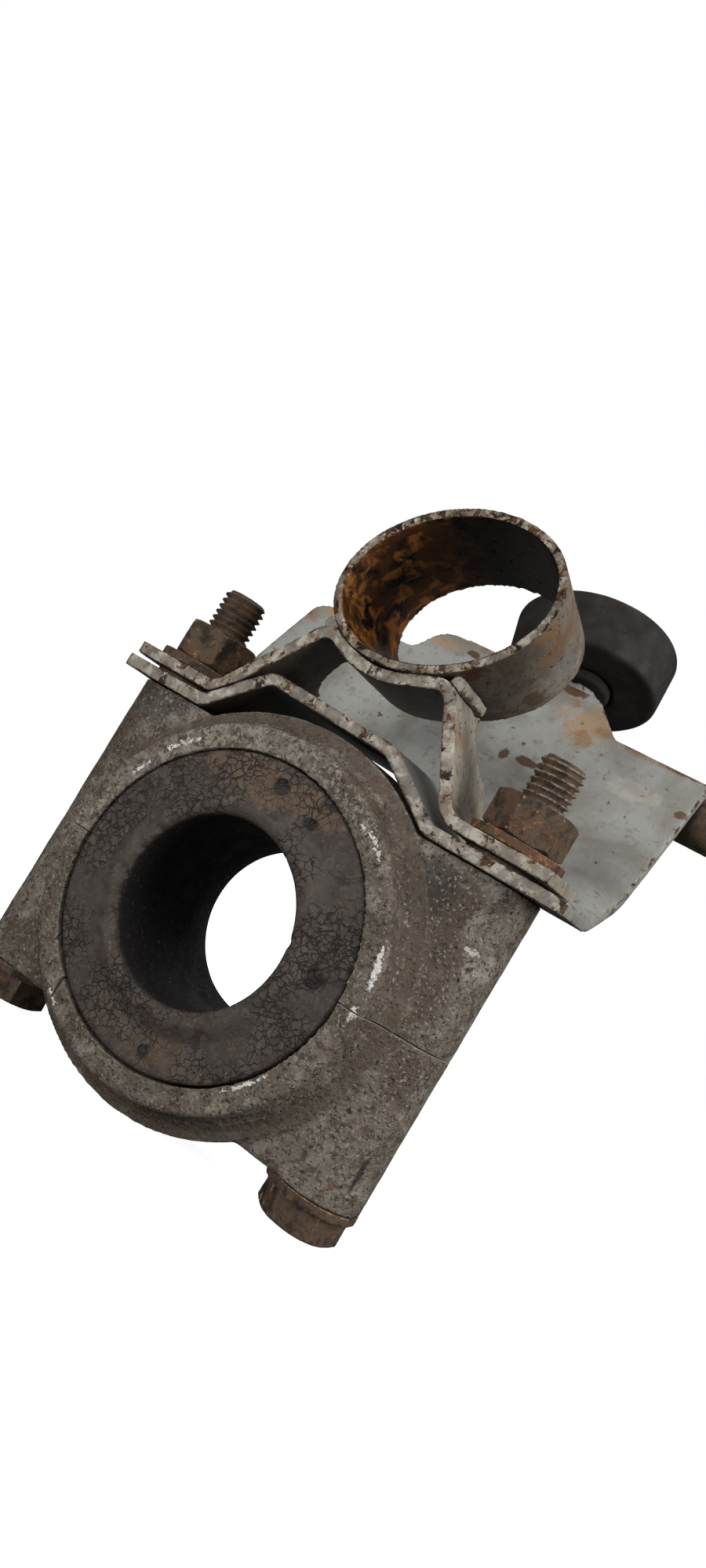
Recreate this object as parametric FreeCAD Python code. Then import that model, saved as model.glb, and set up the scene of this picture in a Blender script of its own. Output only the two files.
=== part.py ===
import FreeCAD, Part
import math
import os

# Two-bolt bar clamp: a split cast housing round a rubber bush, closed by two long
# bolts that also hold a pressed bracket and a saddle strap with a welded ring.
# Millimetres. Origin: centre of the bush bore, on its front rim plane.
# +X runs from the left bolt to the right bolt, +Y along the bore to the rear,
# +Z up along the bolts.

# bush and housing
BORE_R = 23.3             # bar hole in the rubber bush
BUSH_R = 39.85            # rubber bush outside
BUSH_GAP = 0.3            # bush to the lower half, which drops away when opened
BUSH_LIP = 2.0            # bush stands this far out of each rim face
BUSH_MOUTH = 3.0          # rounded mouth of the bar hole, as deep as the lip
BUSH_COLLAR = 5.0         # width of the slope from the lip down to the flat face
BUSH_SINK = 0.4           # flat face of the bush behind the rim
HUB_LENGTH = 45.0         # rim face to rim face
RIM_WALL = 7.0            # flat rim round the bush
RIM_EDGE = 1.6            # rounded outer edge of the rim
RIM_STEP = 8.6            # depth of rim and cove before the thicker barrel
BARREL_STEP = 5.4         # barrel stands this far outside the rim
REAR_RIM_STEP = 14.6      # the same at the rear end
SPLIT_GAP = 0.4           # gap between the housing halves
BOLT_SPAN = 101.0         # between the two bolt axes
COLUMN_R = 12.0           # round bolt column at each side
COLUMN_HALF = 41.2        # half height of the columns

# fasteners
BOLT_R = 6.0              # M12
BOLT_HOLE_R = BOLT_R + 0.6
BOLT_TIP = 11.7           # thread standing out of the nut
BOLT_CHAMFER = 1.1
HEAD_ACROSS = 19.0        # spanner size of head and nut
HEAD_HEIGHT = 7.2
NUT_HEIGHT = 10.2
NUT_RUN = 0.08            # radial running clearance of nut on thread
NUT_LIFT = 0.02           # nut to washer
NUT_TURN = {"left": 8.0, "right": 22.0}
WASHER_R = 12.5
WASHER_THICK = 2.4
HEAD_WASHER_R = 12.0
HEAD_WASHER_THICK = 2.2

# bracket: flat ears, raised channel over the barrel, leaning rear plate
SHEET = 3.6
BRACKET_LEFT = -BOLT_SPAN / 2 - 14.5
BRACKET_RIGHT = BOLT_SPAN / 2 + 20.7
STRAP_FRONT = HUB_LENGTH / 2 - 13.7
CHANNEL_RISE = 13.7       # channel roof above the ears
CHANNEL_FOOT_LEFT = -37.8
CHANNEL_HEAD_LEFT = -23.0
CHANNEL_HEAD_RIGHT = 15.5
CHANNEL_FOOT_RIGHT = 33.8
CHANNEL_SAG = 1.8         # roof runs lower towards its right shoulder
SHEET_BEND_R = 4.5        # centre-line radius of the small bends
PLATE_LEAN = 30.5         # rear plate, degrees back from upright
PLATE_FOOT_Y = HUB_LENGTH / 2 + 27.8       # where the plate's centre plane meets the ears' plane
FIRST_FOLD_Y = HUB_LENGTH / 2 + 14.2       # the sheet turns up in two folds
FIRST_FOLD_R = 16.0
SECOND_FOLD_UP = 10.8
SECOND_FOLD_R = 12.0
PLATE_LEFT_TOP = 57.0     # plate heights, measured up its slope from the ears
PLATE_RIGHT_TOP = 59.5
LOBE_LEFT_TOP = 69.0
LOBE_RIGHT_TOP = 71.0
LOBE_LEFT = (-28.4, -24.6)    # foot and head of the lobe's left flank
LOBE_RIGHT = (29.6, 41.0)     # head and foot of its right flank
PLATE_CORNER_R = 5.5
LOBE_HEAD_R = 7.5
LOBE_FOOT_R = 3.0

# saddle strap and ring
STRAP_SHEET = 3.5
STRAP_WIDTH = 28.6
STRAP_LEFT = -BOLT_SPAN / 2 - 12.5
STRAP_RIGHT = BOLT_SPAN / 2 + 14.2
SPACER_R = 11.0           # thin washer between ear and strap
SPACER_THICK = 0.8
SADDLE_FOOT_LEFT = -36.5
SADDLE_PEAK_LEFT = (-16.2, 27.5)     # x and height over the feet
SADDLE_LOW = (-1.5, 20.7)
SADDLE_PEAK_RIGHT = (20.2, 28.1)
SADDLE_FOOT_RIGHT = 36.0
SADDLE_FOOT_BEND_R = 6.5
SADDLE_LOW_BEND_R = 24.0
RING_WALL = 2.6
NECK_R = 13.0             # scoop in the strap's rear edge at each shoulder
NECK_RISE = 27.0          # its centre above the feet
RING_FRONT = {"x": 6.2, "half_long": 29.7, "half_short": 21.7, "tilt": 28.6}
RING_REAR = {"x": 9.4, "half_long": 26.6, "half_short": 20.4, "tilt": 24.0}
RING_BOTTOM = 24.65       # underside of the ring above the strap's foot centre line
RING_LENGTH = 31.2
WELD_R = 2.3
WELD_END = 1.4            # welds start this far behind the strap's front edge
WELD_LENGTH = 20.0

# rubber buffer on its tab
BUFFER_R = 24.1
BUFFER_BACK_R = 25.7
BUFFER_THICK = 17.6
BUFFER_EDGE = 1.5
BUFFER_AXIS = (-0.23, 0.29, 0.93)    # from the tab up through the buffer
BUFFER_X = 18.1
BUFFER_OVER = 6.9         # foot of the buffer above the lobe, up the plate's slope
BUFFER_BEHIND = 8.7       # and behind the plate's centre plane
BOSS_R = 9.8
BOSS_GROOVE = 0.9         # groove round the boss
BOSS_GROOVE_DEPTH = 1.6
BOSS_DEPTH = 4.0          # boss buried in the rubber
BOSS_STAND = 2.4          # boss proud of the face
TAB_END_R = 6.8
TAB_FOLD_LEFT = -8.0      # the fold between plate and tab
TAB_FOLD_RIGHT = 9.0
STUD_R = 3.0              # M6
STUD_HOLE_R = STUD_R + 0.1
STUD_BURIED = 2.0         # stud head end inside the boss
STUD_TIP = 2.5
SMALL_ACROSS = 10.0
SMALL_NUT_HEIGHT = 5.0
SMALL_WASHER_R = 6.2
SMALL_WASHER_THICK = 1.2
BUFFER_RUN = 0.05         # end float of the buffer on its tab

# round peg welded across the back of the plate, standing out past its right edge
PEG_R = 7.5
PEG_LENGTH = 27.0
PEG_PROUD = 9.5
PEG_BELOW_TOP = 4.8       # below the plate's right top edge, along its slope
PEG_CHAMFER = 2.5
PEG_WELD_R = 2.2

# places that follow from the sizes above
MID_Y = HUB_LENGTH / 2 - 0.4
EAR_Z = COLUMN_HALF + SHEET / 2
SPACER_Z = COLUMN_HALF + SHEET
FOOT_Z = SPACER_Z + SPACER_THICK + STRAP_SHEET / 2
WASHER_Z = FOOT_Z + STRAP_SHEET / 2
NUT_Z = WASHER_Z + WASHER_THICK + NUT_LIFT
TIP_Z = NUT_Z + NUT_HEIGHT + BOLT_TIP
HEAD_Z = -COLUMN_HALF - HEAD_WASHER_THICK
LEAN = math.radians(PLATE_LEAN)
UP_PLATE = FreeCAD.Vector(0, math.sin(LEAN), math.cos(LEAN))
OUT_OF_PLATE = FreeCAD.Vector(0, math.cos(LEAN), -math.sin(LEAN))
SIDES = {"left": -BOLT_SPAN / 2, "right": BOLT_SPAN / 2}
X_AXIS = FreeCAD.Vector(1, 0, 0)
Y_AXIS = FreeCAD.Vector(0, 1, 0)
Z_AXIS = FreeCAD.Vector(0, 0, 1)
BUFFER_UP = FreeCAD.Vector(*BUFFER_AXIS).normalize()
BUFFER_BACKWARD = (Y_AXIS - BUFFER_UP * Y_AXIS.dot(BUFFER_UP)).normalize()
BUFFER_ACROSS = BUFFER_BACKWARD.cross(BUFFER_UP)


def vec(x, y, z):
    return FreeCAD.Vector(x, y, z)


def on_plate(x, up, out):
    """A point by its place on the leaning plate's centre plane."""
    return vec(x, PLATE_FOOT_Y, EAR_Z) + UP_PLATE * up + OUT_OF_PLATE * out


BUFFER_SEAT = on_plate(BUFFER_X, LOBE_RIGHT_TOP + BUFFER_OVER, BUFFER_BEHIND)
FACE_CENTRE = BUFFER_SEAT + BUFFER_UP * (BOSS_STAND + BUFFER_RUN)


def cylinder(radius, start, axis, length):
    return Part.makeCylinder(radius, length, start, axis)


def box(x0, x1, y0, y1, z0, z1):
    return Part.makeBox(x1 - x0, y1 - y0, z1 - z0, vec(x0, y0, z0))


def line(a, b):
    return Part.LineSegment(a, b).toShape()


def arc(a, middle, b):
    return Part.Arc(a, middle, b).toShape()


def side_of_strip(points, radii, offset, to_space):
    """One long side of a bent strip: straight runs joined by tangent arcs."""
    runs = []
    for first, second in zip(points, points[1:]):
        run = (second[0] - first[0], second[1] - first[1])
        length = math.hypot(*run)
        runs.append((run[0] / length, run[1] / length))
    edges = []
    start = (points[0][0] - runs[0][1] * offset, points[0][1] + runs[0][0] * offset)
    for i in range(1, len(points) - 1):
        before, after = runs[i - 1], runs[i]
        turn = math.atan2(before[0] * after[1] - before[1] * after[0],
                          before[0] * after[0] + before[1] * after[1])
        radius = radii[i - 1] - math.copysign(offset, offset * turn)
        shift = math.tan(turn / 2) * offset
        corner = (points[i][0] - before[1] * offset - before[0] * shift,
                  points[i][1] + before[0] * offset - before[1] * shift)
        reach = radius * math.tan(abs(turn) / 2)
        enter = (corner[0] - before[0] * reach, corner[1] - before[1] * reach)
        leave = (corner[0] + after[0] * reach, corner[1] + after[1] * reach)
        inward = (after[0] - before[0], after[1] - before[1])
        size = math.hypot(*inward)
        depth = radius * (1 / math.cos(turn / 2) - 1)
        middle = (corner[0] + inward[0] / size * depth, corner[1] + inward[1] / size * depth)
        edges.append(line(to_space(*start), to_space(*enter)))
        edges.append(arc(to_space(*enter), to_space(*middle), to_space(*leave)))
        start = leave
    end = (points[-1][0] - runs[-1][1] * offset, points[-1][1] + runs[-1][0] * offset)
    edges.append(line(to_space(*start), to_space(*end)))
    return edges


def ends_of(edges):
    return edges[0].Vertexes[0].Point, edges[-1].Vertexes[-1].Point


def bent_strip(points, radii, thickness, to_space, depth):
    """A strip of sheet with rounded bends, from its centre line."""
    upper = side_of_strip(points, radii, thickness / 2, to_space)
    lower = side_of_strip(points, radii, -thickness / 2, to_space)
    upper_start, upper_end = ends_of(upper)
    lower_start, lower_end = ends_of(lower)
    edges = upper + [line(upper_end, lower_end)] + lower[::-1] + [line(lower_start, upper_start)]
    return Part.Face(Part.Wire(Part.__sortEdges__(edges))).extrude(depth)


def closed_prism(edges, depth):
    return Part.Face(Part.Wire(Part.__sortEdges__(edges))).extrude(depth)


def turned(profile, base, axis):
    """Solid of revolution; profile holds (radius, height) pairs along the axis."""
    side = axis.cross(X_AXIS if abs(axis.x) < 0.9 else Y_AXIS).normalize()
    points = [base + side * radius + axis * height for radius, height in profile]
    wire = Part.makePolygon(points + [points[0]])
    return Part.Face(wire).revolve(base, axis, 360)


def hexagon(across, base, axis, height, turn, chamfered):
    """Hexagon prism whose corners are rounded off by a cone at the chamfered ends."""
    corner = across / math.sqrt(3)
    axis = FreeCAD.Vector(axis).normalize()
    first = axis.cross(Y_AXIS if abs(axis.y) < 0.9 else X_AXIS).normalize()
    second = axis.cross(first)
    ring = []
    for k in range(7):
        angle = math.radians(turn + 60 * k)
        ring.append(base + first * (corner * math.cos(angle)) + second * (corner * math.sin(angle)))
    prism = Part.Face(Part.makePolygon(ring)).extrude(axis * height)
    face_r = across / 2 * 0.97
    drop = (corner - face_r) * math.tan(math.radians(30))
    profile = [(0, 0), (corner + 0.1, 0), (corner + 0.1, height), (0, height)]
    if "top" in chamfered:
        profile[2:3] = [(corner + 0.1, height - drop), (face_r, height)]
    if "bottom" in chamfered:
        profile[1:2] = [(face_r, 0), (corner + 0.1, drop)]
    return prism.common(turned(profile, base, axis))


def housing_block():
    """Both housing halves in one piece, bored for the bush and the bolts."""
    rim_r = BUSH_R + RIM_WALL
    barrel_r = rim_r + BARREL_STEP

    def rim(step):
        edge = [(rim_r - RIM_EDGE * (1 - math.sin(t)), RIM_EDGE * (1 - math.cos(t)))
                for t in (math.radians(22.5 * k) for k in range(5))]
        cove = [(rim_r + BARREL_STEP * (1 - math.cos(t)), step - BARREL_STEP * (1 - math.sin(t)))
                for t in (math.radians(15 * k) for k in range(7))]
        return [(0, 0)] + edge + cove
    rear = [(radius, HUB_LENGTH - depth) for radius, depth in reversed(rim(REAR_RIM_STEP))]
    barrel = turned(rim(RIM_STEP) + rear, vec(0, 0, 0), Y_AXIS)
    low, high = MID_Y - COLUMN_R, MID_Y + COLUMN_R
    corners = [vec(x, y, -COLUMN_HALF) for x, y in (
        (SIDES["left"], low), (SIDES["right"], low), (SIDES["right"], high), (SIDES["left"], high))]
    right_end = vec(SIDES["right"] + COLUMN_R, MID_Y, -COLUMN_HALF)
    left_end = vec(SIDES["left"] - COLUMN_R, MID_Y, -COLUMN_HALF)
    outline = [line(corners[0], corners[1]), arc(corners[1], right_end, corners[2]),
               line(corners[2], corners[3]), arc(corners[3], left_end, corners[0])]
    block = barrel.fuse(closed_prism(outline, Z_AXIS * (2 * COLUMN_HALF)))
    for x in SIDES.values():
        block = block.cut(cylinder(BOLT_HOLE_R, vec(x, MID_Y, -COLUMN_HALF - 1), Z_AXIS,
                                   2 * COLUMN_HALF + 2))
    return block, barrel_r


def housings():
    block, barrel_r = housing_block()
    reach = BOLT_SPAN
    halves = {}
    for name, low, high, bore_r in (
            ("upper_housing", SPLIT_GAP / 2, barrel_r + 1, BUSH_R),
            ("lower_housing", -barrel_r - 1, -SPLIT_GAP / 2, BUSH_R + BUSH_GAP)):
        half = block.common(box(-reach, reach, -1, HUB_LENGTH + 1, low, high))
        halves[name] = half.cut(cylinder(bore_r, vec(0, -1, 0), Y_AXIS, HUB_LENGTH + 2))
    return halves


def rubber_bush():
    """Plain thick bush with a rounded mouth at each end of the bar hole."""
    mouth = [(BORE_R + BUSH_MOUTH * (1 - math.sin(t)), -BUSH_LIP * math.cos(t))
             for t in (math.radians(22.5 * k) for k in range(5))]
    front = [(BUSH_R, BUSH_SINK), (BORE_R + BUSH_MOUTH + BUSH_COLLAR, BUSH_SINK)] + mouth
    rear = [(radius, HUB_LENGTH - depth) for radius, depth in reversed(front)]
    return turned(front + rear, vec(0, 0, 0), Y_AXIS)


def bolt(x):
    shank = cylinder(BOLT_R, vec(x, MID_Y, HEAD_Z), Z_AXIS, TIP_Z - HEAD_Z)
    tip = turned([(0, 0), (BOLT_R - BOLT_CHAMFER, 0), (BOLT_R + 0.2, -BOLT_CHAMFER - 0.2),
                  (BOLT_R + 0.2, HEAD_Z - TIP_Z), (0, HEAD_Z - TIP_Z)],
                 vec(x, MID_Y, TIP_Z), Z_AXIS)
    head = hexagon(HEAD_ACROSS, vec(x, MID_Y, HEAD_Z - HEAD_HEIGHT), Z_AXIS, HEAD_HEIGHT, 12,
                   ("bottom",))
    return shank.common(tip).fuse(head).removeSplitter()


def nut(x, turn):
    body = hexagon(HEAD_ACROSS, vec(x, MID_Y, NUT_Z), Z_AXIS, NUT_HEIGHT, turn, ("top", "bottom"))
    return body.cut(cylinder(BOLT_R + NUT_RUN, vec(x, MID_Y, NUT_Z - 1), Z_AXIS, NUT_HEIGHT + 2))


def washer(radius, hole_r, base, axis, thickness):
    return cylinder(radius, base, axis, thickness).cut(cylinder(hole_r, base, axis, thickness))


def plate_outline():
    """Everything below the plate's top edge, which rises to a lobe in the middle."""
    foot = -PLATE_FOOT_Y
    top = [(BRACKET_LEFT, foot), (BRACKET_LEFT, PLATE_LEFT_TOP), (LOBE_LEFT[0], PLATE_LEFT_TOP),
           (LOBE_LEFT[1], LOBE_LEFT_TOP), (LOBE_RIGHT[0], LOBE_RIGHT_TOP),
           (LOBE_RIGHT[1], PLATE_RIGHT_TOP), (BRACKET_RIGHT, PLATE_RIGHT_TOP),
           (BRACKET_RIGHT, foot)]
    radii = [PLATE_CORNER_R, LOBE_FOOT_R, LOBE_HEAD_R, LOBE_HEAD_R, LOBE_FOOT_R, 1.0]

    def at(x, up):
        return on_plate(x, up, -3 * PLATE_FOOT_Y)
    edges = side_of_strip(top, radii, 0, at)
    edges.append(line(at(*top[-1]), at(*top[0])))
    return closed_prism(edges, OUT_OF_PLATE * (6 * PLATE_FOOT_Y))


def channel_line():
    """Centre line of ears and raised channel, seen from the front."""
    return [(BRACKET_LEFT, EAR_Z), (CHANNEL_FOOT_LEFT, EAR_Z),
            (CHANNEL_HEAD_LEFT, EAR_Z + CHANNEL_RISE),
            (CHANNEL_HEAD_RIGHT, EAR_Z + CHANNEL_RISE - CHANNEL_SAG),
            (CHANNEL_FOOT_RIGHT, EAR_Z), (BRACKET_RIGHT, EAR_Z)]


def bracket():
    """Ears, channel and leaning plate pressed from one sheet, with the buffer's tab."""
    second_fold = on_plate(0, SECOND_FOLD_UP, 0)
    plate_end = on_plate(0, LOBE_RIGHT_TOP + PLATE_CORNER_R, 0)
    side_line = [(STRAP_FRONT, EAR_Z), (FIRST_FOLD_Y, EAR_Z), (second_fold.y, second_fold.z),
                 (plate_end.y, plate_end.z)]
    folds = [FIRST_FOLD_R, SECOND_FOLD_R]

    def side_view(y, z):
        return vec(BRACKET_LEFT, y, z)
    length = vec(BRACKET_RIGHT - BRACKET_LEFT, 0, 0)
    sheet = bent_strip(side_line, folds, SHEET, side_view, length)
    sheet = sheet.common(plate_outline())

    under = side_of_strip(side_line, folds, -SHEET / 2, side_view)
    under_start, under_end = ends_of(under)
    above = vec(BRACKET_LEFT, STRAP_FRONT, under_end.z)
    inside = closed_prism(under + [line(under_end, above), line(above, under_start)], length)

    def front_view(x, z):
        return vec(x, STRAP_FRONT, z)
    bends = [SHEET_BEND_R] * 4
    depth = Y_AXIS * (2 * PLATE_FOOT_Y)
    channel = bent_strip(channel_line(), bends, SHEET, front_view, depth).common(inside)
    roof = side_of_strip(channel_line(), bends, SHEET / 2, front_view)[2:-2]
    roof_start, roof_end = ends_of(roof)
    low_start = vec(roof_start.x, STRAP_FRONT, 0)
    low_end = vec(roof_end.x, STRAP_FRONT, 0)
    tunnel = closed_prism(roof + [line(roof_end, low_end), line(low_end, low_start),
                                  line(low_start, roof_start)], depth)
    ears = box(BRACKET_LEFT, BRACKET_RIGHT, STRAP_FRONT, PLATE_FOOT_Y, COLUMN_HALF - 1, FOOT_Z)
    bent = sheet.cut(tunnel)
    shape = bent.fuse(channel.cut(ears.common(bent))).fuse(buffer_tab()).removeSplitter()
    for x in SIDES.values():
        shape = shape.cut(cylinder(BOLT_HOLE_R, vec(x, MID_Y, COLUMN_HALF - 1), Z_AXIS, SHEET + 2))
    hole = BUFFER_SEAT + BUFFER_UP * SHEET
    return shape.cut(cylinder(STUD_HOLE_R, hole, BUFFER_UP * -1, 3 * SHEET))


def buffer_tab():
    """The lobe's top folded back into a tab that lies square to the buffer's axis."""
    middle = BUFFER_SEAT - BUFFER_UP * (SHEET / 2)

    def fold_point(x):
        base = on_plate(x, 0, 0)
        return base + UP_PLATE * ((middle - base).dot(BUFFER_UP) / UP_PLATE.dot(BUFFER_UP))
    left, right = fold_point(TAB_FOLD_LEFT), fold_point(TAB_FOLD_RIGHT)
    fold = right - left
    side = BUFFER_ACROSS * TAB_END_R
    lower = [point - BUFFER_UP * (SHEET / 2) for point in (left, right, middle + side, middle - side)]
    tab = Part.Face(Part.makePolygon(lower + [lower[0]])).extrude(BUFFER_UP * SHEET)
    tab = tab.fuse(cylinder(TAB_END_R, BUFFER_SEAT, BUFFER_UP * -1, SHEET))
    return tab.fuse(cylinder(SHEET / 2, left, fold, fold.Length))


def saddle_line():
    return [(STRAP_LEFT, FOOT_Z), (SADDLE_FOOT_LEFT, FOOT_Z),
            (SADDLE_PEAK_LEFT[0], FOOT_Z + SADDLE_PEAK_LEFT[1]),
            (SADDLE_LOW[0], FOOT_Z + SADDLE_LOW[1]),
            (SADDLE_PEAK_RIGHT[0], FOOT_Z + SADDLE_PEAK_RIGHT[1]),
            (SADDLE_FOOT_RIGHT, FOOT_Z), (STRAP_RIGHT, FOOT_Z)]


def oval(end, y, shrink):
    """Tilted oval whose lowest point lies at the ring's underside."""
    tilt = math.radians(end["tilt"])
    half_long = end["half_long"]
    half_short = end["half_short"]
    drop = math.hypot(half_long * math.sin(tilt), half_short * math.cos(tilt))
    ellipse = Part.Ellipse(vec(0, 0, 0), half_long - shrink, half_short - shrink)
    shape = Part.Wire(ellipse.toShape())
    shape.rotate(vec(0, 0, 0), Z_AXIS, end["tilt"])
    shape.rotate(vec(0, 0, 0), X_AXIS, 90)
    shape.translate(vec(end["x"], y, FOOT_Z + RING_BOTTOM + drop))
    return shape


def ring_solid(shrink, overrun):
    front = oval(RING_FRONT, STRAP_FRONT - overrun, shrink)
    rear = oval(RING_REAR, STRAP_FRONT + RING_LENGTH + overrun, shrink)
    return Part.makeLoft([front, rear], True, True)


def saddle_strap():
    def front_view(x, z):
        return vec(x, STRAP_FRONT, z)
    bends = [SADDLE_FOOT_BEND_R, SHEET_BEND_R, SADDLE_LOW_BEND_R, SHEET_BEND_R, SADDLE_FOOT_BEND_R]
    strap = bent_strip(saddle_line(), bends, STRAP_SHEET, front_view, Y_AXIS * STRAP_WIDTH)
    for x in SIDES.values():
        strap = strap.cut(cylinder(BOLT_HOLE_R, vec(x, MID_Y, FOOT_Z - SHEET), Z_AXIS, 2 * SHEET))
    for x in (SADDLE_PEAK_LEFT[0], SADDLE_PEAK_RIGHT[0]):
        outward = X_AXIS * math.copysign(1, x)
        neck = vec(x, STRAP_FRONT + STRAP_WIDTH + 1.5, FOOT_Z + NECK_RISE)
        strap = strap.cut(cylinder(NECK_R, neck, outward, SADDLE_FOOT_RIGHT))
    return strap.cut(ring_solid(0, 0))


def ring_weld(side, strap):
    """Fillet weld along the crook between ring and strap."""
    peak = SADDLE_PEAK_LEFT if side == "left" else SADDLE_PEAK_RIGHT
    outward = -1 if side == "left" else 1
    start = vec(peak[0] + outward * 0.8, STRAP_FRONT + WELD_END, FOOT_Z + peak[1] + 1.2)
    bead = cylinder(WELD_R, start, Y_AXIS, WELD_LENGTH)
    bead = bead.cut(ring_solid(0, 0)).cut(strap)
    return max(bead.Solids, key=lambda solid: solid.Volume)


def buffer_parts():
    """Rubber buffer, its bonded boss and stud, and the nut that holds it to the tab."""
    groove_r = BOSS_R + BOSS_GROOVE
    rubber = turned([(0, BOSS_GROOVE_DEPTH), (groove_r, BOSS_GROOVE_DEPTH), (groove_r, 0),
                     (BUFFER_R - BUFFER_EDGE, 0), (BUFFER_R, BUFFER_EDGE),
                     (BUFFER_BACK_R, BUFFER_THICK - BUFFER_EDGE),
                     (BUFFER_BACK_R - BUFFER_EDGE, BUFFER_THICK), (0, BUFFER_THICK)],
                    FACE_CENTRE, BUFFER_UP)
    boss_base = FACE_CENTRE - BUFFER_UP * BOSS_STAND
    boss = turned([(0, 0), (BOSS_R - 0.8, 0), (BOSS_R, 0.8), (BOSS_R, BOSS_STAND + BOSS_DEPTH),
                   (0, BOSS_STAND + BOSS_DEPTH)], boss_base, BUFFER_UP)
    under = BUFFER_SEAT - BUFFER_UP * (SHEET + BUFFER_RUN)
    nut_top = under - BUFFER_UP * SMALL_WASHER_THICK
    nut_base = nut_top - BUFFER_UP * SMALL_NUT_HEIGHT
    stud_end = nut_base - BUFFER_UP * STUD_TIP
    stud_top = boss_base + BUFFER_UP * STUD_BURIED
    stud = cylinder(STUD_R, stud_end, BUFFER_UP, (stud_top - stud_end).Length)
    small_nut = hexagon(SMALL_ACROSS, nut_base, BUFFER_UP, SMALL_NUT_HEIGHT, 0, ("top", "bottom"))
    return {
        "buffer_rubber": rubber.cut(boss),
        "buffer_boss": boss.cut(stud),
        "buffer_stud": stud,
        "buffer_washer": washer(SMALL_WASHER_R, STUD_R, nut_top, BUFFER_UP, SMALL_WASHER_THICK),
        "buffer_nut": small_nut.cut(stud),
    }


def rear_peg():
    """Round peg lying across the plate's back, with a weld along its underside."""
    up = PLATE_RIGHT_TOP - PEG_BELOW_TOP
    start = BRACKET_RIGHT + PEG_PROUD - PEG_LENGTH
    base = on_plate(start, up, SHEET / 2 + PEG_R)
    peg = turned([(0, 0), (PEG_R, 0), (PEG_R, PEG_LENGTH - PEG_CHAMFER),
                  (PEG_R - PEG_CHAMFER, PEG_LENGTH), (0, PEG_LENGTH)], base, X_AXIS)
    touch = math.sqrt(4 * PEG_R * PEG_WELD_R)
    crook = on_plate(start, up - touch, SHEET / 2 + PEG_WELD_R * 0.6)
    weld_length = PEG_LENGTH - PEG_PROUD - PEG_CHAMFER
    bead = cylinder(PEG_WELD_R, crook, X_AXIS, weld_length)
    corners = [on_plate(x, up + rise, SHEET / 2) for x, rise in (
        (start, -3 * PEG_R), (start + weld_length, -3 * PEG_R), (start + weld_length, 0), (start, 0))]
    behind = Part.Face(Part.makePolygon(corners + [corners[0]])).extrude(OUT_OF_PLATE * PEG_R)
    return peg, bead.common(behind).cut(peg)


def build():
    nodes = housings()
    nodes["rubber_bush"] = rubber_bush()
    for side, x in SIDES.items():
        nodes["bolt_" + side] = bolt(x)
        nodes["nut_" + side] = nut(x, NUT_TURN[side])
        nodes["head_washer_" + side] = washer(HEAD_WASHER_R, BOLT_HOLE_R, vec(x, MID_Y, HEAD_Z),
                                              Z_AXIS, HEAD_WASHER_THICK)
        nodes["strap_spacer_" + side] = washer(SPACER_R, BOLT_HOLE_R, vec(x, MID_Y, SPACER_Z),
                                               Z_AXIS, SPACER_THICK)
    nodes["bracket"] = bracket()
    nodes["saddle_strap"] = saddle_strap().cut(nodes["bracket"])   # it beds on the ramps
    nodes["tube_ring"] = ring_solid(0, 0).cut(ring_solid(RING_WALL, 0))
    for side, x in SIDES.items():
        nodes["ring_weld_" + side] = ring_weld(side, nodes["saddle_strap"])
        flat = washer(WASHER_R, BOLT_HOLE_R, vec(x, MID_Y, WASHER_Z), Z_AXIS, WASHER_THICK)
        nodes["nut_washer_" + side] = flat.cut(nodes["saddle_strap"])    # worn where the strap turns up
    nodes.update(buffer_parts())
    nodes["rear_peg"], nodes["rear_peg_weld"] = rear_peg()
    return nodes


os.makedirs("parts", exist_ok=True)
for name, shape in sorted(build().items()):
    if len(shape.Solids) == 1:
        shape = shape.Solids[0]
    print(name, len(shape.Solids), "solid", shape.isValid(), round(shape.Volume))
    shape.exportStep("parts/" + name + ".step")
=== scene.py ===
import math

import bmesh
import bpy
from mathutils import Matrix, Vector, noise


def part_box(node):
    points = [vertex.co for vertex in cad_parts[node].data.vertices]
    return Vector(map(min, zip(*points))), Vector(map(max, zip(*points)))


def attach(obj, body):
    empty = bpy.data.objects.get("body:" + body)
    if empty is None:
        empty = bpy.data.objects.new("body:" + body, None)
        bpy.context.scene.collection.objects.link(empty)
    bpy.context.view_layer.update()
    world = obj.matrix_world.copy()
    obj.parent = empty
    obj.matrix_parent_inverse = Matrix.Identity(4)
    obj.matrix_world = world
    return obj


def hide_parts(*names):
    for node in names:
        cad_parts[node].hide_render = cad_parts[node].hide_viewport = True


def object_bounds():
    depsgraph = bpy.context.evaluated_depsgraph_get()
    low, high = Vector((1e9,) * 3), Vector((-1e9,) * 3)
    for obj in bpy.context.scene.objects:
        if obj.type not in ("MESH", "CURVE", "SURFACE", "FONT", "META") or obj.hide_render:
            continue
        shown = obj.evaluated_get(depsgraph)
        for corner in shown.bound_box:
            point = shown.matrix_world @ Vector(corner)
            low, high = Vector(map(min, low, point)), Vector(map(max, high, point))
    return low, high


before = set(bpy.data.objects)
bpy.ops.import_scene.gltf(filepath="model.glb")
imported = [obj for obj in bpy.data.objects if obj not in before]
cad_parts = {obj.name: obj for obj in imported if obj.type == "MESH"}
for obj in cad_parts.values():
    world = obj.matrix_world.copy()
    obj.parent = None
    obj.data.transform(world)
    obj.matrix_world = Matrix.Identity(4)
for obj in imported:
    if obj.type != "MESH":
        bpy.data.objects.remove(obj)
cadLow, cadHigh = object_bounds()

# Two-bolt bar clamp with a rubber bush, pressed bracket, saddle ring and rubber buffer.
# Metres, in the CAD model's own frame: X from bolt to bolt, Y along the bore, Z along the bolts.
mm = 0.001
scene = bpy.context.scene
scene.view_settings.view_transform = "Standard"
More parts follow.
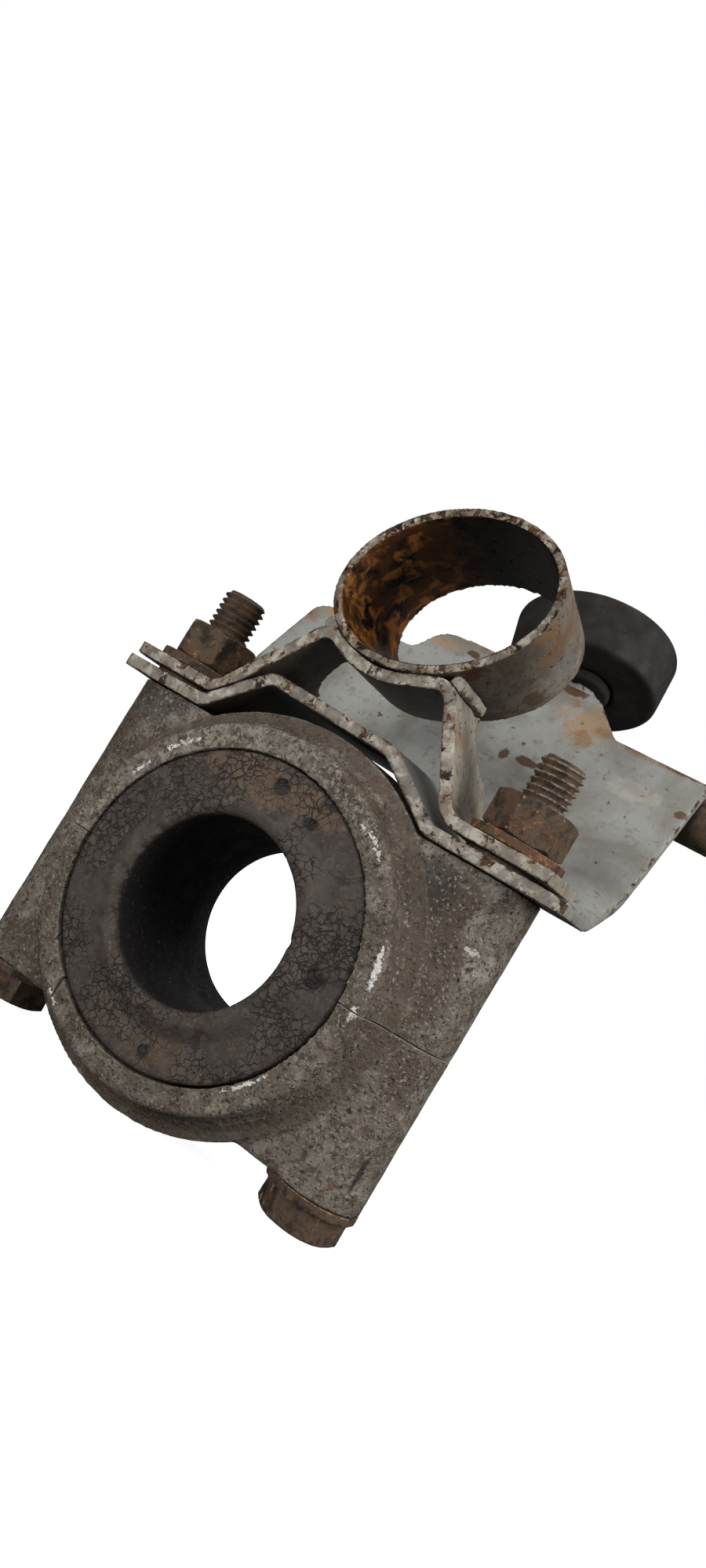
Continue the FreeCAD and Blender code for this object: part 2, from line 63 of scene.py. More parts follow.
print("frame loaded:", len(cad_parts), "nodes")


def put(tree, kind, inputs=None, **settings):
    node = tree.nodes.new("ShaderNode" + kind)
    for key, value in settings.items():
        setattr(node, key, value)
    for key, value in (inputs or {}).items():
        if isinstance(value, bpy.types.NodeSocket):
            tree.links.new(value, node.inputs[key])
        else:
            node.inputs[key].default_value = value
    return node


def calc(tree, operation, a, b=0.0):
    return put(tree, "Math", {0: a, 1: b}, operation=operation).outputs[0]


def ramp(tree, value, low, high):
    node = put(tree, "MapRange", {"Value": value, "From Min": low, "From Max": high},
               interpolation_type="SMOOTHSTEP")
    return node.outputs[0]


def layer(tree, below, colour, mask):
    node = put(tree, "Mix", data_type="RGBA")
    for index, value in ((0, mask), (6, below), (7, colour)):
        if isinstance(value, bpy.types.NodeSocket):
            tree.links.new(value, node.inputs[index])
        elif index == 0:
            node.inputs[index].default_value = value
        else:
            node.inputs[index].default_value = (*value, 1.0)
    return node.outputs[2]


def effectGroup(name, inputs, outputs):
    group = bpy.data.node_groups.new(name, "ShaderNodeTree")
    for label, value in inputs.items():
        kind = "NodeSocketVector" if isinstance(value, tuple) else "NodeSocketFloat"
        group.interface.new_socket(name=label, in_out="INPUT", socket_type=kind).default_value = value
    for label in outputs:
        group.interface.new_socket(name=label, in_out="OUTPUT", socket_type="NodeSocketFloat")
    return group, group.nodes.new("NodeGroupInput").outputs, group.nodes.new("NodeGroupOutput").inputs


def shifted(tree, seed):
    place = put(tree, "TexCoord").outputs["Object"]
    offset = put(tree, "CombineXYZ", {"X": seed, "Y": calc(tree, "MULTIPLY", seed, 1.7), "Z": seed})
    return put(tree, "VectorMath", {0: place, 1: offset.outputs[0]}, operation="ADD").outputs[0]


def makeBlotches():  # ragged patches, from broad stains to small flecks
    group, give, take = effectGroup(
        "blotches", {"Scale": 100.0, "Level": 0.55, "Soft": 0.05, "Seed": 0.0}, ["Mask"])
    spread = put(group, "TexNoise", {"Vector": shifted(group, give["Seed"]), "Scale": give["Scale"],
                                     "Detail": 6.0, "Roughness": 0.62, "Distortion": 0.4})
    low = calc(group, "SUBTRACT", give["Level"], give["Soft"])
    high = calc(group, "ADD", give["Level"], give["Soft"])
    group.links.new(ramp(group, spread.outputs[0], low, high), take["Mask"])
    return group


def makeNearPoint():  # one ragged mark at a place on the part
    group, give, take = effectGroup(
        "nearPoint", {"Centre": (0.0, 0.0, 0.0), "Spread": (0.01, 0.01, 0.01), "Ragged": 0.6,
                      "Scale": 400.0, "Soft": 0.35}, ["Mask"])
    place = put(group, "TexCoord").outputs["Object"]
    away = put(group, "VectorMath", {0: place, 1: give["Centre"]}, operation="SUBTRACT").outputs[0]
    away = put(group, "VectorMath", {0: away, 1: give["Spread"]}, operation="DIVIDE").outputs[0]
    away = put(group, "VectorMath", {0: away}, operation="LENGTH").outputs["Value"]
    edge = put(group, "TexNoise", {"Vector": place, "Scale": give["Scale"], "Detail": 5.0,
                                   "Roughness": 0.65}).outputs[0]
    edge = calc(group, "MULTIPLY", calc(group, "SUBTRACT", edge, 0.5), give["Ragged"])
    inside = calc(group, "ADD", calc(group, "SUBTRACT", 1.0, away), calc(group, "MULTIPLY", edge, 4.0))
    group.links.new(ramp(group, inside, 0.0, give["Soft"]), take["Mask"])
    return group


def makeEdgeWear():  # convex edges lose their coat, hollows are marked for darkening
    group, give, take = effectGroup("edgeWear", {"Reach": 8.0, "Ragged": 1.2, "Scale": 500.0},
                                    ["Worn", "Hollow"])
    sharp = put(group, "NewGeometry").outputs["Pointiness"]
    sharp = calc(group, "MULTIPLY", calc(group, "SUBTRACT", sharp, 0.5), give["Reach"])
    edge = put(group, "TexNoise", {"Vector": put(group, "TexCoord").outputs["Object"],
                                   "Scale": give["Scale"], "Detail": 4.0, "Roughness": 0.7}).outputs[0]
    edge = calc(group, "MULTIPLY", calc(group, "SUBTRACT", edge, 0.5), give["Ragged"])
    group.links.new(ramp(group, calc(group, "ADD", sharp, edge), 0.25, 0.5), take["Worn"])
    hollow = calc(group, "SUBTRACT", edge, sharp)
    group.links.new(ramp(group, hollow, 0.2, 0.7), take["Hollow"])
    return group


def makeGrain():  # bumps of a cast, rusty or moulded skin
    group, give, take = effectGroup("grain", {"Coarse": 400.0, "Fine": 1800.0, "Pits": 0.5}, ["Height"])
    place = put(group, "TexCoord").outputs["Object"]
    broad = put(group, "TexNoise", {"Vector": place, "Scale": give["Coarse"], "Detail": 4.0}).outputs[0]
    fine = put(group, "TexNoise", {"Vector": place, "Scale": give["Fine"], "Detail": 2.0}).outputs[0]
    cells = put(group, "TexVoronoi", {"Vector": place, "Scale": give["Coarse"]},
                feature="F1").outputs["Distance"]
    pit = calc(group, "MULTIPLY", ramp(group, cells, 0.32, 0.12), give["Pits"])
    height = calc(group, "ADD", broad, calc(group, "MULTIPLY", fine, 0.35))
    group.links.new(calc(group, "SUBTRACT", height, pit), take["Height"])
    return group


def makeCrackNet():  # fine network of age cracks, in patches
    group, give, take = effectGroup("crackNet", {"Scale": 300.0, "Width": 0.05, "Cover": 0.5}, ["Mask"])
    place = put(group, "TexCoord").outputs["Object"]
    bend = put(group, "TexNoise", {"Vector": place, "Scale": give["Scale"], "Detail": 2.0}).outputs["Color"]
    bend = put(group, "VectorMath", {0: bend, 1: (0.5, 0.5, 0.5)}, operation="SUBTRACT").outputs[0]
    bend = put(group, "VectorMath", {0: bend, "Scale": 0.003}, operation="SCALE").outputs[0]
    bent = put(group, "VectorMath", {0: place, 1: bend}, operation="ADD").outputs[0]
    cells = put(group, "TexVoronoi", {"Vector": bent, "Scale": give["Scale"]},
                feature="DISTANCE_TO_EDGE").outputs["Distance"]
    line = calc(group, "SUBTRACT", 1.0, ramp(group, cells, 0.0, give["Width"]))
    where = put(group, "TexNoise", {"Vector": place, "Scale": 60.0, "Detail": 4.0}).outputs[0]
    shown = ramp(group, where, give["Cover"], calc(group, "ADD", give["Cover"], 0.12))
    group.links.new(calc(group, "MULTIPLY", line, shown), take["Mask"])
    return group


def makeArcMark():  # a broken mark that follows a circle round the bore
    group, give, take = effectGroup(
        "arcMark", {"Radius": 0.045, "Width": 0.001, "Angle": 0.0, "Sweep": 0.2, "Ragged": 0.5,
                    "Scale": 900.0}, ["Mask"])
    place = put(group, "TexCoord").outputs["Object"]
    parts = put(group, "SeparateXYZ", {0: place}).outputs
    flat = put(group, "VectorMath", {0: place, 1: (1.0, 0.0, 1.0)}, operation="MULTIPLY").outputs[0]
    radius = put(group, "VectorMath", {0: flat}, operation="LENGTH").outputs["Value"]
    turn = calc(group, "ARCTAN2", parts["Z"], parts["X"])
    offRound = calc(group, "DIVIDE", calc(group, "SUBTRACT", turn, give["Angle"]), give["Sweep"])
    offOut = calc(group, "DIVIDE", calc(group, "SUBTRACT", radius, give["Radius"]), give["Width"])
    away = calc(group, "ADD", calc(group, "MULTIPLY", offRound, offRound),
                calc(group, "MULTIPLY", offOut, offOut))
    edge = put(group, "TexNoise", {"Vector": place, "Scale": give["Scale"], "Detail": 5.0,
                                   "Roughness": 0.65}).outputs[0]
    edge = calc(group, "MULTIPLY", calc(group, "SUBTRACT", edge, 0.54),
                calc(group, "MULTIPLY", give["Ragged"], 9.0))
    inside = calc(group, "ADD", calc(group, "SUBTRACT", 1.0, away), edge)
    group.links.new(ramp(group, inside, 0.15, 0.45), take["Mask"])
    return group


effects = {"blotches": makeBlotches(), "nearPoint": makeNearPoint(), "edgeWear": makeEdgeWear(),
           "grain": makeGrain(), "crackNet": makeCrackNet(), "arcMark": makeArcMark()}


def effect(tree, name, output=0, **inputs):
    node = tree.nodes.new("ShaderNodeGroup")
    node.node_tree = effects[name]
    for label, value in inputs.items():
        if isinstance(value, bpy.types.NodeSocket):
            tree.links.new(value, node.inputs[label])
        else:
            node.inputs[label].default_value = value
    return node.outputs[output]


def blotch(tree, scale, level, soft=0.05, seed=0.0):
    return effect(tree, "blotches", Scale=scale, Level=level, Soft=soft, Seed=seed)


def mark(tree, centre, spread, ragged=0.6, scale=400.0, soft=0.35):
    return effect(tree, "nearPoint", Centre=tuple(c * mm for c in centre),
                  Spread=tuple(s * mm for s in spread), Ragged=ragged, Scale=scale, Soft=soft)


def arcMark(tree, radius, width, angle, sweep, ragged=0.5, scale=900.0):
    return effect(tree, "arcMark", Radius=radius * mm, Width=width * mm, Angle=math.radians(angle),
                  Sweep=math.radians(sweep), Ragged=ragged, Scale=scale)


def newMaterial(name):
    material = bpy.data.materials.new(name)
    material.use_nodes = True
    return material, material.node_tree, material.node_tree.nodes["Principled BSDF"]


def finishMaterial(tree, shader, colour, roughness, height, depth):
    tree.links.new(colour, shader.inputs["Base Color"])
    tree.links.new(roughness, shader.inputs["Roughness"])
    bump = put(tree, "Bump", {"Height": height, "Strength": 1.0, "Distance": depth})
    tree.links.new(bump.outputs[0], shader.inputs["Normal"])


def blend(tree, low, high, mask):  # a number that goes from low to high with the mask
    return calc(tree, "ADD", calc(tree, "MULTIPLY", mask, high - low), low)


castLook = {
    "grey": (0.134, 0.110, 0.085), "pale": (0.245, 0.218, 0.178), "brown": (0.070, 0.049, 0.032),
    "grime": (0.020, 0.015, 0.012), "bare": (0.56, 0.54, 0.50), "rust": (0.115, 0.052, 0.024),
    # bare scrapes round the rim: radius, width, angle, half sweep and raggedness
    "scrapes": [(44.3, 0.8, 50.0, 6.5, 0.8), (43.0, 0.6, 56.0, 3.0, 0.8), (45.3, 1.0, 13.0, 8.0, 0.55),
                (44.6, 1.2, -0.6, 3.0, 0.6), (41.2, 0.6, -41.0, 9.0, 0.7), (43.0, 0.9, 134.0, 7.0, 0.9),
                (42.0, 0.6, 150.0, 5.0, 0.9), (44.5, 0.7, -122.0, 4.0, 0.9)],
    "flakes": [((60.2, 10.1, 20.5), (1.5, 4.0, 1.5)), ((57.3, 11.0, 24.5), (2.0, 4.0, 0.8))],
    "stains": [((40.0, 10.0, 34.0), (9.0, 8.0, 5.0)), ((-52.0, 10.0, 36.0), (11.0, 10.0, 5.0)),
               ((25.0, 3.0, 41.0), (4.0, 5.0, 2.0)), ((42.0, 10.0, 27.0), (5.0, 8.0, 9.0))],
    "scratch": [((60.0, 12.0, -31.0), (0.7, 6.0, 7.5)), ((-24.0, 0.0, -34.6), (0.5, 6.0, 4.5))],
}


def castAlloy():
    material, tree, shader = newMaterial("weatheredCasting")
    look = castLook
    colour = layer(tree, look["grey"], look["pale"], blotch(tree, 160.0, 0.57, 0.10))
    colour = layer(tree, colour, look["brown"], blotch(tree, 55.0, 0.54, 0.09, 0.3))
    colour = layer(tree, colour, look["brown"], blotch(tree, 420.0, 0.56, 0.06, 0.8))
    for centre, spread in look["stains"]:
        colour = layer(tree, colour, look["grime"],
                       calc(tree, "MULTIPLY", mark(tree, centre, spread, 0.6, 150.0), 0.55))
    speckle = arcMark(tree, 43.6, 4.6, 130.0, 100.0, 0.2, 500.0)  # pale specks, thickest round the rim
    speckle = calc(tree, "MULTIPLY", speckle, blotch(tree, 620.0, 0.55, 0.05, 1.3))
    colour = layer(tree, colour, look["pale"], speckle)
    colour = layer(tree, colour, look["pale"], blotch(tree, 1300.0, 0.60, 0.03, 0.5))
    colour = layer(tree, colour, look["grime"], blotch(tree, 950.0, 0.60, 0.04, 0.1))
    coveShade = arcMark(tree, 50.2, 2.2, 0.0, 400.0, 0.15, 300.0)  # painted shade in the cove behind the rim
    colour = layer(tree, colour, look["brown"], calc(tree, "MULTIPLY", coveShade, 0.7))
    hollow = effect(tree, "edgeWear", "Hollow", Reach=9.0, Ragged=0.6, Scale=300.0)
    colour = layer(tree, colour, look["grime"], calc(tree, "MULTIPLY", hollow, 0.8))
    worn = effect(tree, "edgeWear", "Worn", Reach=7.0, Ragged=1.1, Scale=450.0)
    colour = layer(tree, colour, look["pale"], calc(tree, "MULTIPLY", worn, 0.8))
    colour = layer(tree, colour, look["rust"], blotch(tree, 260.0, 0.66, 0.03, 2.2))
    bare = None
    for radius, width, angle, sweep, ragged in look["scrapes"]:
        spot = arcMark(tree, radius, width, angle, sweep, ragged)
        bare = spot if bare is None else calc(tree, "MAXIMUM", bare, spot)
    for centre, spread in look["flakes"]:
        flake = calc(tree, "MULTIPLY", mark(tree, centre, spread, 0.9, 900.0), 0.6)
        bare = calc(tree, "MAXIMUM", bare, flake)
    colour = layer(tree, colour, look["bare"], bare)
    for centre, spread in look["scratch"]:
        colour = layer(tree, colour, look["grime"], mark(tree, centre, spread, 0.25, 500.0))
    grain = effect(tree, "grain", Coarse=650.0, Fine=2600.0, Pits=0.7)
    shader.inputs["Metallic"].default_value = 0.2
    finishMaterial(tree, shader, colour, blend(tree, 0.68, 0.4, bare), grain, 0.00045)
    return material


bushLook = {
    "rubber": (0.047, 0.036, 0.029), "dust": (0.12, 0.080, 0.052), "dark": (0.011, 0.009, 0.008),
    # the near-black bore colour is painted shade inside the bore
    "grey": (0.070, 0.057, 0.049), "crack": (0.010, 0.007, 0.006), "bore": (0.005, 0.004, 0.004),
    # round moulding marks: x, z and the radius of their dark rim
    "rings": [(0.3, 34.5, 2.6), (32.3, 1.3, 2.8), (12.2, 30.5, 1.7), (4.9, -34.6, 1.9)],
}


def agedRubber():
    material, tree, shader = newMaterial("agedBushRubber")
    look = bushLook
    colour = layer(tree, look["rubber"], look["grey"], blotch(tree, 120.0, 0.55, 0.08))
    patches = calc(tree, "MULTIPLY", blotch(tree, 150.0, 0.58, 0.06, 0.4), 0.6)
    colour = layer(tree, colour, look["dark"], patches)
    colour = layer(tree, colour, look["grey"], blotch(tree, 800.0, 0.58, 0.05, 1.4))
    dusty = calc(tree, "MULTIPLY", mark(tree, (-4.0, 0.0, 33.5), (26.0, 12.0, 6.0), 0.9, 160.0), 0.75)
    colour = layer(tree, colour, look["dust"], dusty)
    lower = calc(tree, "MULTIPLY", mark(tree, (2.0, 0.0, -33.0), (24.0, 12.0, 5.0), 0.7, 140.0), 0.4)
    colour = layer(tree, colour, look["dust"], lower)
    place = put(tree, "TexCoord").outputs["Object"]
    flat = put(tree, "VectorMath", {0: place, 1: (1.0, 0.0, 1.0)}, operation="MULTIPLY").outputs[0]
    radius = put(tree, "VectorMath", {0: flat}, operation="LENGTH").outputs["Value"]
    wobble = put(tree, "TexNoise", {"Vector": place, "Scale": 180.0, "Detail": 4.0}).outputs[0]
    radius = calc(tree, "ADD", radius, calc(tree, "MULTIPLY", calc(tree, "SUBTRACT", wobble, 0.5), 0.0018))
    # painted highlight: a lighter grey ring round the mouth, inside the lip's crest
    lip = calc(tree, "SUBTRACT", 1.0, ramp(tree, radius, 0.0263, 0.0272))
    colour = layer(tree, colour, look["grey"], calc(tree, "MULTIPLY", lip, 0.3))
    # painted shade: the bore wall and the inner mouth are painted near black
    deep = put(tree, "SeparateXYZ", {0: place}).outputs["Y"]
    bore = calc(tree, "MULTIPLY", calc(tree, "SUBTRACT", 1.0, ramp(tree, radius, 0.0248, 0.0262)),
                ramp(tree, deep, -0.0012, 0.0016))
    colour = layer(tree, colour, look["bore"], calc(tree, "MULTIPLY", bore, 0.92))
    for x, z, size in look["rings"]:
        colour = layer(tree, colour, look["dark"],
                       calc(tree, "MULTIPLY", mark(tree, (x, 0.4, z), (size, 2.0, size), 0.12, 600.0), 0.8))
    ring = calc(tree, "MULTIPLY", ramp(tree, radius, 0.0255, 0.0285), ramp(tree, radius, 0.0325, 0.0295))
    colour = layer(tree, colour, look["grey"],
                   calc(tree, "MULTIPLY", ring, blend(tree, 0.1, 0.7, blotch(tree, 120.0, 0.5, 0.1, 1.1))))
    cracks = effect(tree, "crackNet", Scale=480.0, Width=0.08, Cover=0.42)
    wide = effect(tree, "crackNet", Scale=230.0, Width=0.03, Cover=0.50)
    cracks = calc(tree, "MAXIMUM", cracks, wide)
    colour = layer(tree, colour, look["crack"], calc(tree, "MULTIPLY", cracks, 0.85))
    colour = layer(tree, colour, look["dust"], blotch(tree, 900.0, 0.64, 0.03, 0.9))
    grain = effect(tree, "grain", Coarse=700.0, Fine=3000.0, Pits=0.3)
    height = calc(tree, "SUBTRACT", grain, calc(tree, "MULTIPLY", cracks, 1.4))
    rough = blend(tree, 0.66, 0.86, blotch(tree, 200.0, 0.5, 0.15, 0.6))
    finishMaterial(tree, shader, colour, rough, height, 0.00022)
    shader.inputs["Specular IOR Level"].default_value = 0.35
    return material


bufferLook = {"rubber": (0.022, 0.0195, 0.0178), "worn": (0.031, 0.028, 0.026),
              "brown": (0.017, 0.0135, 0.011)}


def bufferRubber():
    material, tree, shader = newMaterial("mattBufferRubber")
    look = bufferLook
    colour = layer(tree, look["rubber"], look["worn"], blotch(tree, 130.0, 0.56, 0.1))
    colour = layer(tree, colour, look["brown"], blotch(tree, 80.0, 0.52, 0.08, 0.7))
    colour = layer(tree, colour, look["worn"], blotch(tree, 1100.0, 0.67, 0.04, 0.2))
    worn = effect(tree, "edgeWear", "Worn", Reach=6.0, Ragged=0.8, Scale=400.0)
    colour = layer(tree, colour, look["worn"], calc(tree, "MULTIPLY", worn, 0.6))
    grain = effect(tree, "grain", Coarse=900.0, Fine=3500.0, Pits=0.2)
    rough = blend(tree, 0.62, 0.85, blotch(tree, 220.0, 0.5, 0.15, 0.6))
    finishMaterial(tree, shader, colour, rough, grain, 0.0001)
    shader.inputs["Specular IOR Level"].default_value = 0.2
    return material


rustLook = {"dark": (0.022, 0.014, 0.009), "brown": (0.090, 0.057, 0.032),
            "orange": (0.24, 0.105, 0.034), "red": (0.100, 0.045, 0.022), "steel": (0.36, 0.30, 0.22)}


def rustySteel(name, brownish, orange, bare, seed, marks=()):
    material, tree, shader = newMaterial(name)
    look = rustLook
    colour = layer(tree, look["brown"], look["dark"], blotch(tree, 230.0, 0.53, 0.10, seed))
    colour = layer(tree, colour, look["red"], blotch(tree, 330.0, brownish, 0.07, seed + 0.4))
    colour = layer(tree, colour, look["orange"], blotch(tree, 520.0, orange, 0.05, seed + 0.9))
    for centre, spread, tone in marks:
        colour = layer(tree, colour, look[tone], mark(tree, centre, spread, 0.8, 500.0))
    worn = effect(tree, "edgeWear", "Worn", Reach=7.0, Ragged=1.2, Scale=900.0)
    worn = calc(tree, "MULTIPLY", worn, bare)
    colour = layer(tree, colour, look["steel"], worn)
    hollow = effect(tree, "edgeWear", "Hollow", Reach=8.0, Ragged=0.4, Scale=600.0)
    colour = layer(tree, colour, look["dark"], calc(tree, "MULTIPLY", hollow, 0.85))
    colour = layer(tree, colour, look["orange"], blotch(tree, 2200.0, 0.70, 0.03, seed + 0.2))
    grain = effect(tree, "grain", Coarse=1100.0, Fine=4200.0, Pits=0.8)
    shader.inputs["Metallic"].default_value = 0.2
    finishMaterial(tree, shader, colour, blend(tree, 0.8, 0.45, worn), grain, 0.00022)
    return material


# each look also sets how strongly faces turned down over the barrel are painted near black as shade
paintLook = {
    "bracket": {"paint": (0.275, 0.276, 0.260), "shade": (0.185, 0.172, 0.145), "chips": 0.69, "seed": 0.0,
                "dirt": 0.53, "paintedShade": 0.92, "frontChips": 0.585, "gloss": 0.35},
    "strap": {"paint": (0.30, 0.268, 0.213), "shade": (0.14, 0.12, 0.095), "chips": 0.645, "seed": 3.1,
              "dirt": 0.50, "paintedShade": 0.92, "frontChips": 0.60, "gloss": 0.35},
    "ring": {"paint": (0.205, 0.18, 0.145), "shade": (0.095, 0.075, 0.058), "chips": 0.635, "seed": 5.3,
             "dirt": 0.47, "paintedShade": 0.6, "frontChips": 0.53, "gloss": 0.12},
}
# the bluish tone is a painted sheen on up- and right-facing paint
chipLook = {"rust": (0.080, 0.040, 0.019), "deep": (0.018, 0.011, 0.007), "stain": (0.21, 0.098, 0.030),
            "primer": (0.46, 0.42, 0.36), "edge": (0.185, 0.148, 0.102), "shade": (0.085, 0.067, 0.050),
            "tan": (0.32, 0.195, 0.080), "blueSheen": (0.15, 0.165, 0.185)}


def chippedPaint(name, look, marks=(), inside=None):
    material, tree, shader = newMaterial(name)
    seed = look["seed"]
    colour = layer(tree, look["paint"], look["shade"], blotch(tree, 45.0, look["dirt"], 0.13, seed))
    colour = layer(tree, colour, look["shade"], blotch(tree, 380.0, 0.62, 0.08, seed + 0.5))
    colour = layer(tree, colour, chipLook["primer"], blotch(tree, 700.0, 0.70, 0.04, seed + 0.8))
    for centre, spread, tone, strength in marks:
        wide = tone in ("tan", "shade", "blueSheen", "stain")  # stains, shade and sheen fade out, chips end sharply
        broken = blend(tree, 0.6 if wide else 0.95, 1.0, blotch(tree, 420.0, 0.5, 0.12, seed + 0.1))
        spot = mark(tree, centre, spread, 0.6, 230.0, 0.8 if wide else 0.3)
        spot = calc(tree, "MULTIPLY", spot, broken)
        spot = calc(tree, "MULTIPLY", spot, strength)
        colour = layer(tree, colour, chipLook[tone], spot)
    worn = effect(tree, "edgeWear", "Worn", Reach=7.0, Ragged=1.9, Scale=300.0)
    spots = blotch(tree, 300.0, look["chips"], 0.02, seed + 1.4)
    tiny = blotch(tree, 900.0, look["chips"] + 0.01, 0.02, seed + 2.4)
    facing = put(tree, "SeparateXYZ", {0: put(tree, "TexCoord").outputs["Normal"]}).outputs
    depth = put(tree, "SeparateXYZ", {0: put(tree, "TexCoord").outputs["Object"]}).outputs["Y"]
    front = calc(tree, "MULTIPLY", ramp(tree, facing["Y"], -0.35, -0.8), ramp(tree, depth, 0.0108, 0.0098))
    colour = layer(tree, colour, chipLook["edge"], calc(tree, "MULTIPLY", front, 0.75))  # beige, chipped
    # primer spots on the front edges, partly painted highlight
    primerAndHighlight = blend(tree, 0.0, 0.7, blotch(tree, 330.0, 0.53, 0.09, seed + 2.7))
    colour = layer(tree, colour, chipLook["primer"], calc(tree, "MULTIPLY", front, primerAndHighlight))
    dirty = calc(tree, "MULTIPLY", front, blotch(tree, 190.0, 0.53, 0.07, seed + 1.1))
    colour = layer(tree, colour, chipLook["shade"], calc(tree, "MULTIPLY", dirty, 0.7))
    front = calc(tree, "MULTIPLY", front, blotch(tree, 240.0, look["frontChips"], 0.02, seed + 3.3))
    chipped = calc(tree, "MAXIMUM", calc(tree, "MAXIMUM", worn, front), calc(tree, "MAXIMUM", spots, tiny))
    halo = blotch(tree, 300.0, look["chips"] - 0.05, 0.05, seed + 1.4)
    colour = layer(tree, colour, chipLook["stain"], calc(tree, "MULTIPLY", halo, 0.45))
    tone = layer(tree, chipLook["rust"], chipLook["deep"], blotch(tree, 420.0, 0.5, 0.08, seed + 0.7))
    tone = layer(tree, tone, chipLook["primer"], blotch(tree, 620.0, 0.60, 0.04, seed + 1.9))
    colour = layer(tree, colour, tone, chipped)
    hollow = effect(tree, "edgeWear", "Hollow", Reach=8.0, Ragged=0.8, Scale=260.0)
    colour = layer(tree, colour, chipLook["deep"], calc(tree, "MULTIPLY", hollow, 0.7))
    paintedUnderShade = ramp(tree, facing["Z"], -0.25, -0.7)  # painted shade: faces turned down over the barrel are painted near black
    paintedUnderShade = calc(tree, "MULTIPLY", paintedUnderShade, ramp(tree, depth, 0.052, 0.040))
    colour = layer(tree, colour, chipLook["deep"], calc(tree, "MULTIPLY", paintedUnderShade, look["paintedShade"]))
    if inside is not None:  # rusty inner wall of the ring
        colour = inside(tree, colour)
    grain = effect(tree, "grain", Coarse=500.0, Fine=2600.0, Pits=0.15)
    film = calc(tree, "SUBTRACT", calc(tree, "MULTIPLY", grain, 0.5), calc(tree, "MULTIPLY", chipped, 0.6))
    finishMaterial(tree, shader, colour, blend(tree, 0.5, 0.82, chipped), film, 0.0002)
    shader.inputs["Specular IOR Level"].default_value = look["gloss"]
    return material


pieces = {}


def newPiece(name, work, material, body, slot, *nodes):
    mesh = bpy.data.meshes.new(name)
    work.to_mesh(mesh)
    work.free()
    mesh.materials.append(material)
    for face in mesh.polygons:
        face.use_smooth = True
        face.material_index = 0
    piece = bpy.data.objects.new(name, mesh)
    scene.collection.objects.link(piece)
    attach(piece, body)
    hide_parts(*nodes)
    pieces[name] = piece
    return piece


def mergedCopy(node):
    work = bmesh.new()
    work.from_mesh(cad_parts[node].data)
    bmesh.ops.remove_doubles(work, verts=work.verts, dist=1e-6)
    return work


def evenSkin(work, voxel):  # one closed skin of small even faces, edges slightly rounded
    rough = bpy.data.meshes.new("rough")
    work.to_mesh(rough)
    work.free()
    holder = bpy.data.objects.new("rough", rough)
    scene.collection.objects.link(holder)
    remesh = holder.modifiers.new("evenSkin", "REMESH")
    remesh.mode = "VOXEL"
    remesh.voxel_size = voxel * mm
    evaluated = holder.evaluated_get(bpy.context.evaluated_depsgraph_get())
    skin = bpy.data.meshes.new_from_object(evaluated)
    bpy.data.objects.remove(holder)
    bpy.data.meshes.remove(rough)
    even = bmesh.new()
    even.from_mesh(skin)
    bpy.data.meshes.remove(skin)
    return even


def weather(work, look):  # takes a little off everywhere, never adds
    work.normal_update()
    moves = []
    for vert in work.verts:
        point = vert.co / mm
        lump = 0.5 + 0.5 * noise.noise(point / look["lumpSize"] + Vector((look["seed"],) * 3))
        grit = 0.5 + 0.5 * noise.noise(point / look["gritSize"] + Vector((look["seed"],) * 3))
        cut = look["lump"] * lump + look["grit"] * grit
        moves.append(vert.co - vert.normal * cut * mm)
    for vert, place in zip(work.verts, moves):
        vert.co = place
    return work


def clipAlong(work, axis, low, high):  # keeps what lies between two heights, and closes the cuts
    for height, side in ((low, -1), (high, 1)):
        if height is None:
            continue
        normal = Vector(axis) * side
        bmesh.ops.bisect_plane(work, geom=work.verts[:] + work.edges[:] + work.faces[:], dist=1e-7,
                               plane_co=Vector(axis) * height * mm, plane_no=normal, clear_outer=True)
        open_ = [edge for edge in work.edges if edge.is_boundary]
        bmesh.ops.triangle_fill(work, use_beauty=True, edges=open_)
    return work


def addShell(work, other):
    mesh = bpy.data.meshes.new("shell")
    other.to_mesh(mesh)
    other.free()
    work.from_mesh(mesh)
    bpy.data.meshes.remove(mesh)


def spun(profile, base, axis, across, steps):  # solid of revolution from (radius, height) pairs
    work = bmesh.new()
    base, axis, across = Vector(base), Vector(axis).normalized(), Vector(across).normalized()
    chain = [work.verts.new((base + across * r + axis * h) * mm) for r, h in profile]
    edges = [work.edges.new(pair) for pair in zip(chain, chain[1:])]
    bmesh.ops.spin(work, geom=chain + edges, cent=base * mm, axis=axis, angle=2 * math.pi, steps=steps,
                   use_merge=True)
    bmesh.ops.remove_doubles(work, verts=work.verts, dist=1e-7)
    bmesh.ops.recalc_face_normals(work, faces=work.faces)
    return work


